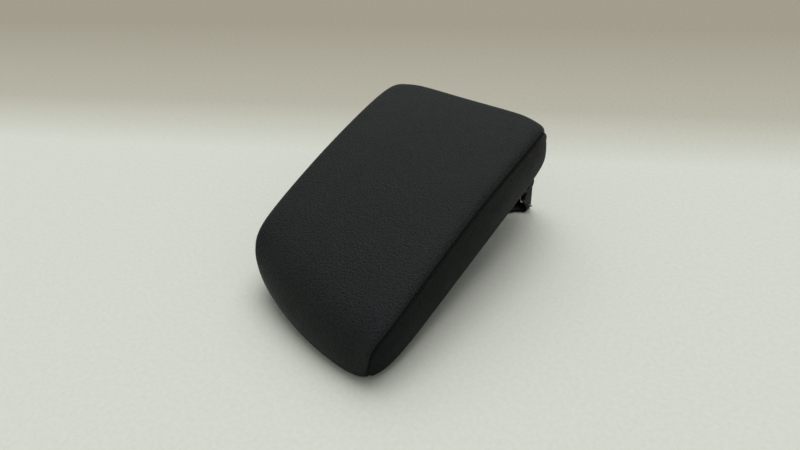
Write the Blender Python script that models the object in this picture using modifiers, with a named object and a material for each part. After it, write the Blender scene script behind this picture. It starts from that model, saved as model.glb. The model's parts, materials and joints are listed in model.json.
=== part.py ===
"""Centre console armrest: a padded, leather-covered lid on a pressed steel rear hinge.

Metres, Z up, front towards -Y. The origin lies on the ground straight under the middle of the hinge pin.
The bracket stands on its foot plate. The lid is drawn in a frame of its own (x to the right, y to the
rear, z = 0 on the plane of its rim) and hangs on an empty on the hinge pin, turned down until its front
corner meets the ground.
"""

import math

import bmesh
import bpy
from mathutils import Vector

# Lid: plan
LID_LENGTH = 0.300
REAR_HALF_WIDTH = 0.0950
FRONT_HALF_WIDTH = 0.0880
FRONT_BOW = 0.013          # the front edge's ends lie this far behind its middle
FRONT_SKEW = 0.020         # and its right end lies this far ahead, its left end as far behind
CORNER_POWER = 8.5         # power of the superellipse that rounds the corners

# Lid: side profile, above the rim
REAR_HEIGHT = 0.0470
FRONT_HEIGHT = 0.0450
TOP_ARCH = 0.0110
SIDE_ROLL = (0.016, 0.0065)     # how far the top rolls off inwards, and how far it drops
FRONT_ROLL = (0.046, 0.0375)
REAR_ROLL = (0.016, 0.0330)
SIDE_BULGE = 0.0015
RIM_RADIUS = 0.0040

# Lid: cover, foam, shell and inner panel
LEATHER = 0.0014
TURN_IN = 0.0120           # the cover is turned in under the rim as far as this
SEAM_GAP = 0.0012          # between the panels, which the stitching pulls together
SEAM_STRAIGHT = math.radians(41)    # the seam keeps to the edge this far round the plan's square,
SEAM_END = math.radians(56)         # whose corners are at 45 degrees, and ends under the rim here
FOAM_GAP = 0.0014          # between cover and foam, for the cover's flats round the rolls
FOAM_FLOOR = 0.0050
SHELL_INSET = 0.0120
SHELL_TOP = 0.0240
SHELL_WALL = 0.0025
LIP_INSET = 0.0050
LIP_THICKNESS = 0.0020
PANEL_INSET = 0.0126
PANEL_WALL = 0.0020
PANEL_DROP = 0.0006        # the inner panel stands this far below the rim
FIELD_STEP = 0.0035        # its middle field is set up by this much
FIELD_SIDE = 0.030
FIELD_FRONT = 0.075
PANEL_REAR = LID_LENGTH / 2 - 0.067     # the panel ends here, in front of the hinge plate
RIB_DEPTH = 0.010
RIB_WALL = 0.0020

# Hinge
PIN_HEIGHT = 0.0380        # the pin stands this far above the ground
PIN_DROP = 0.0310          # and below the lid's rim
PIN_IN_LID = Vector((0.0, LID_LENGTH / 2 - 0.0275, -PIN_DROP))
PIN_RADIUS = 0.0040
PIN_FIT = 0.0002
OPEN_ANGLE = math.radians(105)
FOOT_HALF_WIDTH = REAR_HALF_WIDTH - 0.0200
FOOT_FRONT = -0.0515
FOOT_MIDDLE_HALF_WIDTH = FOOT_HALF_WIDTH - 0.0200
FOOT_SHEET = 0.0025
FOOT_BEND = 0.0030
EAR_RADIUS = 0.0090
EAR_FOOT_WIDTH = 0.0095
REAR_FLANGE = 0.0140
BOLT_RADIUS = 0.0043
BOLT_SPREAD = FOOT_MIDDLE_HALF_WIDTH - 0.0170
BOLT_SPOTS = [(-BOLT_SPREAD, -0.010), (BOLT_SPREAD, -0.010), (0.0, FOOT_FRONT + 0.0115)]
ARM_SHEET = 0.0030
ARM_BEND = 0.0040
WASHER = 0.0012
HEEL_ANGLE = math.radians(160)      # from the front over the top, with the lid at rest
HEEL_LENGTH = 0.0170
HEEL_HALF_WIDTH = 0.0042
STOP_DISTANCE = 0.0150
STOP_RADIUS = 0.0026
PLATE_FRONT = LID_LENGTH / 2 - 0.0610
PLATE_REAR = LID_LENGTH / 2 - 0.0230
FRONT_SCREW = (FOOT_HALF_WIDTH - 0.0330, PLATE_FRONT + 0.0100)
REAR_SCREW = (FOOT_HALF_WIDTH - 0.0530, PLATE_REAR - 0.0090)
HINGE_SCREW_SPOTS = [(side * x, y) for x, y in (FRONT_SCREW, REAR_SCREW) for side in (-1, 1)]
SPRING_WIRE = 0.0011
SPRING_RADIUS = 0.0062
SPRING_TURNS = 4
SPRING_LEG = 0.024         # how far the upper leg reaches forward under the hinge plate
COIL_STEPS = 8

# Latch
LATCH_FROM_FRONT = 0.0530
LATCH_PIVOT = Vector((0.0, LATCH_FROM_FRONT - LID_LENGTH / 2, 0.0090))
LATCH_PIN_RADIUS = 0.0015
LATCH_HALF_WIDTH = 0.0180
# The latch opening's half width, front and rear
LATCH_OPENING = (LATCH_HALF_WIDTH + 0.0025, LATCH_PIVOT.y - 0.0260, LATCH_PIVOT.y + 0.0105)
PADDLE_TIP = 0.0238        # how far the paddle reaches in front of its pin
PADDLE_STEP = 0.0030       # the part of it that rests on the edge of the inner panel
HOUSING_WALL = 0.0020
HOUSING_TOP = 0.0195
HOUSING_SCREW_SPOTS = [(side * (LATCH_HALF_WIDTH + 0.0130), LATCH_PIVOT.y - 0.0050) for side in (-1, 1)]
HOUSING_EAR = (0.0050, 0.0070)

# Fasteners and stops
# Rows of screws and stops: share of the way forward, and inset from the side
PANEL_SCREW_ROWS = [(0.78, 0.0235), (0.13, 0.0200), (-0.43, 0.0190)]
SCREW_SHANK = 0.0016
SCREW_REACH = 0.0110
BOSS_RADIUS = 0.0040
HINGE_BOSS_RADIUS = 0.0062
BUMPER_ROWS = [(0.67, 0.0235), (-0.32, 0.0180)]
BUMPER_RADIUS = 0.0048

CLEAR = 0.0003             # between pieces that touch
COVER_POINTS = 76          # points of the plan's outline in the cover and its foam
SHELL_POINTS = 44          # and in the shell and the inner panel
SEAM_ROWS = 10
SIDE_ROWS = 8
FOAM_ROWS = 7
ROUND_STEPS = 16


def start_afresh():
    for obj in list(bpy.data.objects):
        bpy.data.objects.remove(obj, do_unlink=True)
    for name in ("car_armrest", "cutters"):
        collection = bpy.data.collections.new(name)
        bpy.context.scene.collection.children.link(collection)


def make_material(name, colour, roughness, metallic=0.0):
    material = bpy.data.materials.new(name)
    material.use_nodes = True
    shader = material.node_tree.nodes["Principled BSDF"]
    shader.inputs["Base Color"].default_value = (*colour, 1.0)
    shader.inputs["Roughness"].default_value = roughness
    shader.inputs["Metallic"].default_value = metallic
    return material


# Objects

def add_object(name, data, material, parent=None, location=(0, 0, 0), rotation=(0, 0, 0)):
    obj = bpy.data.objects.new(name, data)
    bpy.data.collections["car_armrest"].objects.link(obj)
    obj.data.materials.append(material)
    obj.parent = parent
    obj.location = location
    obj.rotation_euler = rotation
    return obj


def add_empty(name, parent, location, tilt=0.0):
    empty = bpy.data.objects.new(name, None)
    bpy.data.collections["car_armrest"].objects.link(empty)
    empty.parent = parent
    empty.location = location
    empty.rotation_euler = (tilt, 0, 0)
    return empty


def mesh_from(name, bm):
    bmesh.ops.recalc_face_normals(bm, faces=bm.faces)
    mesh = bpy.data.meshes.new(name)
    bm.to_mesh(mesh)
    bm.free()
    return mesh


def smooth(obj, angle=math.radians(35)):
    obj.data.shade_smooth()
    obj.data.set_sharp_from_angle(angle=angle)
    return obj


def boolean(obj, meshes, operation="DIFFERENCE"):
    """Cuts each mesh out of the object, or adds it, in the object's own coordinates."""
    for mesh in meshes:
        tool = bpy.data.objects.new(f"{obj.name}_{mesh.name}", mesh)
        bpy.data.collections["cutters"].objects.link(tool)
        tool.parent = obj
        tool.hide_render = True
        tool.display_type = "WIRE"
        modifier = obj.modifiers.new(mesh.name, "BOOLEAN")
        modifier.operation = operation
        modifier.object = tool
    return obj


# Shapes

def box(name, low, high):
    bm = bmesh.new()
    bmesh.ops.create_cube(bm, size=1.0)
    size = Vector(high) - Vector(low)
    middle = (Vector(high) + Vector(low)) / 2
    bmesh.ops.scale(bm, vec=size, verts=bm.verts)
    bmesh.ops.translate(bm, vec=middle, verts=bm.verts)
    return mesh_from(name, bm)


def rod(name, radius, start, end, steps=ROUND_STEPS):
    """A cylinder between two points on a line along X or Z."""
    start, end = Vector(start), Vector(end)
    along = end - start
    bm = bmesh.new()
    bmesh.ops.create_cone(bm, cap_ends=True, segments=steps, radius1=radius, radius2=radius,
                          depth=along.length)
    turn = Vector((0, 0, 1)).rotation_difference(along)
    bmesh.ops.rotate(bm, cent=(0, 0, 0), matrix=turn.to_matrix(), verts=bm.verts)
    bmesh.ops.translate(bm, vec=(start + end) / 2, verts=bm.verts)
    return mesh_from(name, bm)


def rods(name, radius, spots, low, high, steps=ROUND_STEPS):
    """Upright cylinders at several spots, in one mesh."""
    bm = bmesh.new()
    for x, y in spots:
        made = bmesh.ops.create_cone(bm, cap_ends=True, segments=steps, radius1=radius, radius2=radius,
                                     depth=high - low)
        bmesh.ops.translate(bm, vec=(x, y, (low + high) / 2), verts=made["verts"])
    return mesh_from(name, bm)


def sheet(name, outline, thickness, axis, offset=0.0):
    """A flat outline made thick. Axis "X" takes (y, z) points, axis "Z" takes (x, y) points."""
    bm = bmesh.new()
    low, high = offset, offset + thickness
    to_point = {"X": lambda a, b, w: (w, a, b), "Z": lambda a, b, w: (a, b, w)}[axis]
    face = bm.faces.new([bm.verts.new(to_point(a, b, low)) for a, b in outline])
    made = bmesh.ops.extrude_face_region(bm, geom=[face])
    raised = [v for v in made["geom"] if isinstance(v, bmesh.types.BMVert)]
    shift = Vector(to_point(0, 0, high)) - Vector(to_point(0, 0, low))
    bmesh.ops.translate(bm, vec=shift, verts=raised)
    return mesh_from(name, bm)


def arc(centre, radius, start, end, steps):
    """Points on an arc, with angles from the first axis towards the second."""
    angles = [start + (end - start) * k / steps for k in range(steps + 1)]
    return [(centre[0] + radius * math.cos(a), centre[1] + radius * math.sin(a)) for a in angles]


def turned(name, profile, material, parent, location, axis="Z", steps=ROUND_STEPS, ring=False):
    """A turned piece from a profile of (radius, height), which closes on itself in a ring."""
    mesh = bpy.data.meshes.new(name)
    count = len(profile)
    edges = [(k, k + 1) for k in range(count - 1)]
    if ring:
        edges.append((count - 1, 0))
    mesh.from_pydata([(radius, 0, height) for radius, height in profile], edges, [])
    rotation = (0, math.pi / 2, 0) if axis == "X" else (0, 0, 0)
    obj = add_object(name, mesh, material, parent, location, rotation)
    screw = obj.modifiers.new("turn", "SCREW")
    screw.steps = steps
    screw.render_steps = steps
    screw.use_merge_vertices = True
    screw.merge_threshold = 0.00001
    screw.use_smooth_shade = True
    return obj


def wire(name, points, radius, material, parent, location=(0, 0, 0)):
    curve = bpy.data.curves.new(name, "CURVE")
    curve.dimensions = "3D"
    curve.bevel_depth = radius
    curve.bevel_resolution = 2
    curve.use_fill_caps = True
    spline = curve.splines.new("POLY")
    spline.points.add(len(points) - 1)
    for point, place in zip(spline.points, points):
        point.co = (*place, 1.0)
    return add_object(name, curve, material, parent, location)


def coil(radius, start_x, end_x, start_angle, turns, steps=COIL_STEPS):
    """Points along a coil round X. The angle runs from the front over the top."""
    count = round(turns * steps)
    points = []
    for k in range(count + 1):
        share = k / count
        angle = start_angle + turns * 2 * math.pi * share
        x = start_x + (end_x - start_x) * share
        points.append((x, -radius * math.cos(angle), radius * math.sin(angle)))
    return points


# The pad's surface

def unit_outline(steps=60):
    """Points (forward, sideways) of a superellipse of half length 1, counterclockwise from above."""
    diagonal = 0.5 ** (1 / CORNER_POWER)
    values = [diagonal * k / steps for k in range(-steps, steps)]
    reach = {v: (1 - abs(v) ** CORNER_POWER) ** (1 / CORNER_POWER) for v in values}
    front = [(reach[v], v) for v in values]
    right = [(-v, reach[v]) for v in values]
    rear = [(-reach[v], -v) for v in values]
    left = [(v, -reach[v]) for v in values]
    return front + right + rear + left


def in_plan(forward, sideways, side=0.0, front=0.0, rear=0.0):
    """The lid's plan point, with each edge set in by its own distance."""
    share = (forward + 1) / 2
    half_width = REAR_HALF_WIDTH + (FRONT_HALF_WIDTH - REAR_HALF_WIDTH) * share - side
    x = sideways * half_width
    if forward < 0:
        return x, -forward * (LID_LENGTH / 2 - rear)
    lag = FRONT_BOW * sideways ** 2 - FRONT_SKEW * sideways
    return x, forward * (lag + front - LID_LENGTH / 2)


def side_spots(rows):
    """Spots along both sides of the lid, for rows of (share of the way forward, inset from the side)."""
    return [in_plan(forward, side, side=inset) for forward, inset in rows for side in (-1, 1)]


def even_outline(count):
    """Outline points, as close on the corners as the turning there asks, each with its outward normal."""
    fine = unit_outline()
    places = [Vector(in_plan(*point)) for point in fine]
    total = len(fine)
    headings = [(places[(k + 1) % total] - places[k]) for k in range(total)]
    lengths = [h.length for h in headings]
    turns = [abs(headings[k - 1].angle_signed(headings[k])) for k in range(total)]
    perimeter = sum(lengths)
    travelled = [0.0]
    for k in range(total):
        travelled.append(travelled[-1] + lengths[k] / perimeter + turns[(k + 1) % total] / math.pi)
    outline = []
    for step in range(count):
        goal = travelled[-1] * step / count
        k = max(i for i in range(total) if travelled[i] <= goal)
        share = (goal - travelled[k]) / (travelled[k + 1] - travelled[k])
        a, b = fine[k], fine[(k + 1) % total]
        point = (a[0] + (b[0] - a[0]) * share, a[1] + (b[1] - a[1]) * share)
        heading = headings[k].normalized()
        outline.append((point, Vector((heading.y, -heading.x))))
    return outline


def top_height(y):
    along = max(-1.0, min(1.0, -y / (LID_LENGTH / 2)))
    level = (REAR_HEIGHT + FRONT_HEIGHT) / 2 + (FRONT_HEIGHT - REAR_HEIGHT) / 2 * along
    return level + TOP_ARCH * (1 - along ** 2)


def roll_at(normal):
    """How far the top rolls in and drops where the outline faces this way."""
    side = normal.x ** 2
    front = normal.y ** 2 if normal.y < 0 else 0.0
    rear = normal.y ** 2 if normal.y > 0 else 0.0
    return [side * s + front * f + rear * r for s, f, r in zip(SIDE_ROLL, FRONT_ROLL, REAR_ROLL)]


def roll_core(point):
    """The plan point where the roll-off begins."""
    return Vector(in_plan(*point, side=SIDE_ROLL[0], front=FRONT_ROLL[0], rear=REAR_ROLL[0]))


def section(point, normal, depth=0.0, floor=None, steps=8):
    """The pad's section from the roll's start down to the rim, and in under it, as 3D points.

    depth takes a surface inside the first. With a floor the section stops there, at that height.
    The second value is the number of the point at the foot of the roll.
    """
    core = roll_core(point)
    edge = Vector(in_plan(*point, side=depth, front=depth, rear=depth))
    drop = roll_at(normal)[1]
    points = []
    for k in range(steps + 1):
        angle = math.pi / 2 * k / steps
        place = core.lerp(edge, math.sin(angle))
        points.append(Vector((*place, top_height(place.y) - depth - drop * (1 - math.cos(angle)))))
    foot = points[-1].z
    low = RIM_RADIUS if floor is None else floor
    for k in range(1, steps + 1):
        share = k / steps
        place = edge + normal * SIDE_BULGE * normal.x ** 2 * math.sin(math.pi * share)
        points.append(Vector((*place, foot + (low - foot) * share)))
    if floor is None:
        for k in range(1, 6):
            angle = math.pi / 2 * k / 5
            inset = RIM_RADIUS * (1 - math.cos(angle))
            place = in_plan(*point, side=inset, front=inset, rear=inset)
            points.append(Vector((*place, RIM_RADIUS * (1 - math.sin(angle)))))
        place = in_plan(*point, side=TURN_IN, front=TURN_IN, rear=TURN_IN)
        points.append(Vector((*place, 0.0)))
    return points, steps


def lengths_along(points):
    """Distance travelled at each point, and the same with turning counted as extra length."""
    travelled, weighted = [0.0], [0.0]
    for k in range(1, len(points)):
        step = points[k] - points[k - 1]
        turn = 0.0
        if k > 1:
            turn = (points[k - 1] - points[k - 2]).angle(step, 0.0)
        travelled.append(travelled[-1] + step.length)
        weighted.append(weighted[-1] + step.length + 0.02 * turn)
    return travelled, weighted


def between(values, keys, goal):
    """The value at a goal among rising keys, read off by straight lines."""
    for k in range(1, len(keys)):
        if goal <= keys[k] or k == len(keys) - 1:
            span = keys[k] - keys[k - 1]
            share = (goal - keys[k - 1]) / span if span > 0 else 0.0
            return values[k - 1] + (values[k] - values[k - 1]) * min(1.0, max(0.0, share))


def rows_between(points, start, end, count):
    """Points of a section between two distances, closer where it turns."""
    travelled, weighted = lengths_along(points)
    first = between(weighted, travelled, start)
    last = between(weighted, travelled, end)
    return [between(points, weighted, first + (last - first) * k / count) for k in range(count + 1)]


def seam_distance(points, foot, point):
    """Where the seam crosses a section: at the roll's foot on the sides, under the rim at the ends."""
    travelled, weighted = lengths_along(points)
    way_round = math.atan2(abs(point[0]), abs(point[1]))
    share = (way_round - SEAM_STRAIGHT) / (SEAM_END - SEAM_STRAIGHT)
    share = min(1.0, max(0.0, share)) ** 2
    goal = weighted[foot] + (weighted[-1] - weighted[foot]) * share
    return between(travelled, weighted, goal), share


def add_rings(bm, rings):
    """Skins a list of closed rings, and returns their vertices."""
    made = [[bm.verts.new(point) for point in ring] for ring in rings]
    count = len(rings[0])
    for upper, lower in zip(made, made[1:]):
        for k in range(count):
            after = (k + 1) % count
            bm.faces.new((upper[k], lower[k], lower[after], upper[after]))
    return made


def add_cap(bm, ring, centre):
    middle = bm.verts.new(centre)
    for k in range(len(ring)):
        bm.faces.new((middle, ring[k], ring[(k + 1) % len(ring)]))


def crown_rings(outline, depth, shares):
    """Rings of the pad's top, inside the roll, each a share of the way out from the middle."""
    rings = []
    for share in shares:
        ring = []
        for point, normal in outline:
            x, y = roll_core(point) * share
            ring.append(Vector((x, y, top_height(y) - depth)))
        rings.append(ring)
    return rings


def cover_top(outline):
    bm = bmesh.new()
    columns = []
    for point, normal in outline:
        points, foot = section(point, normal)
        end, share = seam_distance(points, foot, point)
        if share < 1.0:
            end -= SEAM_GAP / 2
        columns.append(rows_between(points, 0.0, end, SEAM_ROWS))
    rings = crown_rings(outline, 0.0, (0.25, 0.5, 0.75))
    rings += [[column[row] for column in columns] for row in range(SEAM_ROWS + 1)]
    made = add_rings(bm, rings)
    add_cap(bm, made[0], (0, 0, top_height(0)))
    return mesh_from("cover_top_panel", bm)


def cover_side(outline, side):
    """A side panel between the seam and the turned-in edge, ending where the seam meets the rim."""
    bm = bmesh.new()
    opposite = min(range(len(outline)), key=lambda k: outline[k][1].x * side)
    columns = []
    for point, normal in outline[opposite:] + outline[:opposite]:
        points, foot = section(point, normal)
        start, share = seam_distance(points, foot, point)
        if point[1] * side > 0 and share < 0.97:
            travelled, weighted = lengths_along(points)
            rows = rows_between(points, start + SEAM_GAP / 2, travelled[-1], SIDE_ROWS)
            columns.append([bm.verts.new(place) for place in rows])
    for ahead, behind in zip(columns, columns[1:]):
        for row in range(SIDE_ROWS):
            bm.faces.new((ahead[row], ahead[row + 1], behind[row + 1], behind[row]))
    return mesh_from("cover_side", bm)


def leather(obj):
    """Gives a cover panel its thickness, inwards."""
    solid = obj.modifiers.new("leather", "SOLIDIFY")
    solid.thickness = LEATHER
    solid.offset = -1
    solid.use_even_offset = True
    return smooth(obj)


def face_out(mesh, inside):
    """Turns an open sheet's faces away from a point inside it."""
    bm = bmesh.new()
    bm.from_mesh(mesh)
    bm.faces.ensure_lookup_table()
    face = max(bm.faces, key=lambda f: f.calc_area())
    if face.normal.dot(face.calc_center_median() - Vector(inside)) < 0:
        bmesh.ops.reverse_faces(bm, faces=bm.faces)
    bm.to_mesh(mesh)
    bm.free()
    return mesh


def build_cover(outline, lid, material):
    inside = (0, 0, 0.02)
    origin = -PIN_IN_LID
    leather(add_object("cover_top_panel", face_out(cover_top(outline), inside), material, lid, origin))
    for name, side in (("cover_side_right", 1), ("cover_side_left", -1)):
        leather(add_object(name, face_out(cover_side(outline, side), inside), material, lid, origin))


def plan_ring(outline, inset, height):
    return [Vector((*in_plan(*point, side=inset, front=inset, rear=inset), height)) for point, _ in outline]


def build_foam(outline, lid, material):
    """The foam fills the cover down to the shell's lip, and has the shell's shape as its hollow."""
    depth = LEATHER + FOAM_GAP
    columns = []
    for point, normal in outline:
        points, foot = section(point, normal, depth, floor=FOAM_FLOOR)
        travelled, weighted = lengths_along(points)
        columns.append(rows_between(points, 0.0, travelled[-1], FOAM_ROWS - 1))
    rings = crown_rings(outline, depth, (0.4, 0.75))
    rings += [[column[row] for column in columns] for row in range(FOAM_ROWS)]
    hollow = SHELL_INSET - CLEAR
    rings.append(plan_ring(outline, hollow, FOAM_FLOOR))
    rings.append(plan_ring(outline, hollow + 0.0005, SHELL_TOP - 0.004))
    rings.append(plan_ring(outline, hollow + 0.0045, SHELL_TOP + CLEAR))
    bm = bmesh.new()
    made = add_rings(bm, rings)
    add_cap(bm, made[0], (0, 0, top_height(0) - depth))
    add_cap(bm, list(reversed(made[-1])), (0, 0, SHELL_TOP + CLEAR))
    return smooth(add_object("foam_pad", mesh_from("foam_pad", bm), material, lid, -PIN_IN_LID))


def build_shell(outline, lid, material):
    """The moulded shell: a tray upside down, with a lip all round, ribs, and bosses for every screw."""
    lip_low = FOAM_FLOOR - CLEAR - LIP_THICKNESS
    ceiling = SHELL_TOP - SHELL_WALL
    inner = SHELL_INSET + SHELL_WALL
    steps = [(SHELL_INSET + 0.0045, SHELL_TOP), (SHELL_INSET + 0.0005, SHELL_TOP - 0.004),
             (SHELL_INSET, FOAM_FLOOR - CLEAR), (LIP_INSET, FOAM_FLOOR - CLEAR), (LIP_INSET, lip_low),
             (inner, lip_low), (inner + 0.0005, ceiling - 0.002), (inner + 0.0025, ceiling)]
    bm = bmesh.new()
    made = add_rings(bm, [plan_ring(outline, inset, height) for inset, height in steps])
    add_cap(bm, made[0], (0, 0, SHELL_TOP))
    add_cap(bm, list(reversed(made[-1])), (0, 0, ceiling))
    shell = add_object("lid_shell", mesh_from("lid_shell", bm), material, lid, -PIN_IN_LID)
    into = ceiling + SHELL_WALL / 2
    rib_low = ceiling - RIB_DEPTH
    panel_top = PANEL_WALL - PANEL_DROP + CLEAR
    half = RIB_WALL / 2
    rib_front = LATCH_OPENING[2] + HOUSING_WALL + 0.002
    ribs = [box(f"rib_along_{k}", (x - half, rib_front, rib_low), (x + half, PLATE_REAR, into))
            for k, x in enumerate((-0.035, 0.0, 0.035))]
    rib_end = FRONT_HALF_WIDTH - 0.018
    for share in (-0.20, -0.03, 0.13, 0.28):
        y = share * LID_LENGTH
        ribs.append(box(f"rib_across_{y:.3f}", (-rib_end, y - half, rib_low), (rib_end, y + half, into)))
    boolean(shell, ribs, "UNION")
    ear_top = HOUSING_EAR[1] + CLEAR
    plate_top = FOAM_FLOOR + ARM_SHEET + CLEAR
    bosses = [rods("panel_bosses", BOSS_RADIUS, side_spots(PANEL_SCREW_ROWS), panel_top, into, 12),
              rods("latch_bosses", BOSS_RADIUS, HOUSING_SCREW_SPOTS, ear_top, into, 12),
              rods("hinge_bosses", HINGE_BOSS_RADIUS, HINGE_SCREW_SPOTS, plate_top, into, 12)]
    boolean(shell, bosses, "UNION")
    bore = SCREW_SHANK + PIN_FIT
    deep = SCREW_REACH + 0.002
    bores = [rods("panel_bores", bore, side_spots(PANEL_SCREW_ROWS), -0.01, deep, 12),
             rods("latch_bores", bore, HOUSING_SCREW_SPOTS, -0.01, HOUSING_EAR[0] + SCREW_REACH, 12),
             rods("hinge_bores", bore * 1.5, HINGE_SCREW_SPOTS, -0.01, FOAM_FLOOR + deep, 12)]
    return boolean(shell, bores)


def build_inner_panel(outline, lid, material):
    """The moulded panel under the lid, its field set up, open at the latch and short of the hinge."""
    def ring(inset, height, field=False):
        if not field:
            return plan_ring(outline, inset, height)
        insets = {"side": FIELD_SIDE + inset, "front": FIELD_FRONT + inset, "rear": inset}
        return [Vector((*in_plan(*point, **insets), height)) for point, _ in outline]
    low = -PANEL_DROP
    steps = [ring(0.003, low + PANEL_WALL + FIELD_STEP, True), ring(0.0, low + PANEL_WALL, True),
             ring(PANEL_INSET, low + PANEL_WALL), ring(PANEL_INSET, low),
             ring(PANEL_WALL, low, True), ring(0.003 + PANEL_WALL, low + FIELD_STEP, True)]
    bm = bmesh.new()
    made = add_rings(bm, steps)
    add_cap(bm, made[0], (0, 0, low + PANEL_WALL + FIELD_STEP))
    add_cap(bm, list(reversed(made[-1])), (0, 0, low + FIELD_STEP))
    panel = add_object("inner_panel", mesh_from("inner_panel", bm), material, lid, -PIN_IN_LID)
    half_width, front, rear = LATCH_OPENING
    ledge = LATCH_PIVOT.y - PADDLE_TIP + PADDLE_STEP - 0.0007
    cuts = [box("hinge_side", (-0.2, PANEL_REAR, -0.02), (0.2, 0.2, 0.02)),
            box("latch_opening", (-half_width, ledge, -0.02), (half_width, rear, 0.02)),
            rods("screw_holes", SCREW_SHANK + PIN_FIT, side_spots(PANEL_SCREW_ROWS), -0.02, 0.02, 12),
            rods("bumper_holes", BUMPER_RADIUS * 0.5 + PIN_FIT, side_spots(BUMPER_ROWS), -0.02, 0.02, 12)]
    return boolean(panel, cuts)


# The hinge

def stack_positions():
    """Where the pieces on the right half of the pin begin and end, from the ear inwards."""
    ear = (FOOT_HALF_WIDTH - FOOT_SHEET, FOOT_HALF_WIDTH)
    washer = (ear[0] - CLEAR - WASHER, ear[0] - CLEAR)
    arm = (washer[0] - CLEAR - ARM_SHEET, washer[0] - CLEAR)
    flange = (arm[0] - CLEAR - WASHER, arm[0] - CLEAR)
    return ear, washer, arm, flange


def stop_spot():
    """The stop rivet's place round the pin, where the heel's flank meets it with the lid open."""
    reach = HEEL_HALF_WIDTH + STOP_RADIUS + CLEAR
    angle = HEEL_ANGLE + OPEN_ANGLE + math.asin(reach / STOP_DISTANCE)
    return -STOP_DISTANCE * math.cos(angle), STOP_DISTANCE * math.sin(angle)


def channel(name, outer_x, wall, bend, low, high, front, rear, upside_down):
    """A sheet bent to a U, web and two flanges, as an open surface along Y that Solidify makes thick."""
    web = high if upside_down else low
    free = low if upside_down else high
    inwards = -1 if upside_down else 1
    half = [(outer_x, free)]
    for k in range(4):
        angle = math.pi / 2 * k / 3
        x = outer_x - bend * (1 - math.cos(angle))
        z = web + inwards * bend * (1 - math.sin(angle))
        half.append((x, z))
    profile = half + [(-x, z) for x, z in reversed(half)]
    bm = bmesh.new()
    rows = [[bm.verts.new((x, y, z)) for x, z in profile] for y in (front, rear)]
    for k in range(len(profile) - 1):
        bm.faces.new((rows[0][k], rows[0][k + 1], rows[1][k + 1], rows[1][k]))
    mesh = face_out(mesh_from(name, bm), (0, (front + rear) / 2, (low + high) / 2))
    return mesh


def thicken(obj, wall):
    solid = obj.modifiers.new("sheet", "SOLIDIFY")
    solid.thickness = wall
    solid.offset = -1
    solid.use_even_offset = True
    return obj


def ear_profile():
    """Side outline of foot plate and ear together, as (y, z)."""
    stop_y, stop_z = stop_spot()
    pin = (0.0, PIN_HEIGHT)
    stop = (stop_y, PIN_HEIGHT + stop_z)
    round_stop = STOP_RADIUS + 0.0035
    boss = arc(pin, EAR_RADIUS, 0.0, math.pi, 8)
    belly = arc(stop, round_stop, math.radians(175), math.radians(245), 3)
    front_of_foot = EAR_RADIUS - EAR_FOOT_WIDTH
    return ([(EAR_RADIUS, 0.0)] + boss + belly
            + [(front_of_foot, FOOT_SHEET + 0.004), (front_of_foot, FOOT_SHEET + 0.0006),
               (FOOT_FRONT, FOOT_SHEET + 0.0006), (FOOT_FRONT, 0.0)])


def foot_corner(side):
    """What is cut off the foot plate in front of an ear, seen from above."""
    wing = EAR_RADIUS - EAR_FOOT_WIDTH
    outer = FOOT_HALF_WIDTH
    inner = FOOT_MIDDLE_HALF_WIDTH
    points = [(outer + 0.02, wing), (outer, wing), (outer - 0.011, wing - 0.006), (inner, wing - 0.018),
              (inner, FOOT_FRONT + 0.008), (inner - 0.008, FOOT_FRONT), (inner - 0.008, FOOT_FRONT - 0.02),
              (outer + 0.02, FOOT_FRONT - 0.02)]
    return [(side * x, y) for x, y in points]


def spring_tail_spot():
    """Where the springs' tails go through the ears, near the foot."""
    return EAR_RADIUS - 0.0048, FOOT_SHEET + 0.0042


def build_bracket(material):
    """One pressed part: foot plate, two ears, and a flange along the rear edge."""
    ear_top = PIN_HEIGHT + EAR_RADIUS + 0.002
    mesh = channel("hinge_bracket", FOOT_HALF_WIDTH, FOOT_SHEET, FOOT_BEND, 0.0, ear_top,
                   FOOT_FRONT - 0.002, EAR_RADIUS + 0.002, False)
    bracket = thicken(add_object("hinge_bracket", mesh, material), FOOT_SHEET)
    boolean(bracket, [sheet("side_outline", ear_profile(), 0.2, "X", -0.1)], "INTERSECT")
    corner_cuts = [sheet(f"corner_{side}", foot_corner(side), 0.02, "Z", -0.0155) for side in (1, -1)]
    boolean(bracket, corner_cuts)
    flange_half = FOOT_HALF_WIDTH - FOOT_SHEET / 2
    flange = sheet("rear_flange", [(-flange_half, 0.001), (flange_half, 0.001), (flange_half, 0.008),
                                   (flange_half - 0.018, REAR_FLANGE), (0.018 - flange_half, REAR_FLANGE),
                                   (-flange_half, 0.008)], FOOT_SHEET, "Z")
    turn_up = bmesh.new()
    turn_up.from_mesh(flange)
    for vert in turn_up.verts:
        x, z, y = vert.co
        vert.co = (x, EAR_RADIUS - 0.0002 - y, z)
    bmesh.ops.recalc_face_normals(turn_up, faces=turn_up.faces)
    turn_up.to_mesh(flange)
    turn_up.free()
    boolean(bracket, [flange], "UNION")
    stop_y, stop_z = stop_spot()
    tail_y, tail_z = spring_tail_spot()
    cuts = [rod("pin_hole", PIN_RADIUS + PIN_FIT, (-0.1, 0, PIN_HEIGHT), (0.1, 0, PIN_HEIGHT)),
            rod("stop_hole", STOP_RADIUS + PIN_FIT, (-0.1, stop_y, PIN_HEIGHT + stop_z),
                (0.1, stop_y, PIN_HEIGHT + stop_z), 12),
            rod("tail_hole", SPRING_WIRE + 0.0004, (-0.1, tail_y, tail_z), (0.1, tail_y, tail_z), 8),
            rods("bolt_holes", BOLT_RADIUS, BOLT_SPOTS, -0.01, 0.01),
            box("window", (-0.014, -0.024, -0.01), (0.014, -0.006, 0.01))]
    return boolean(bracket, cuts)


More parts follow.
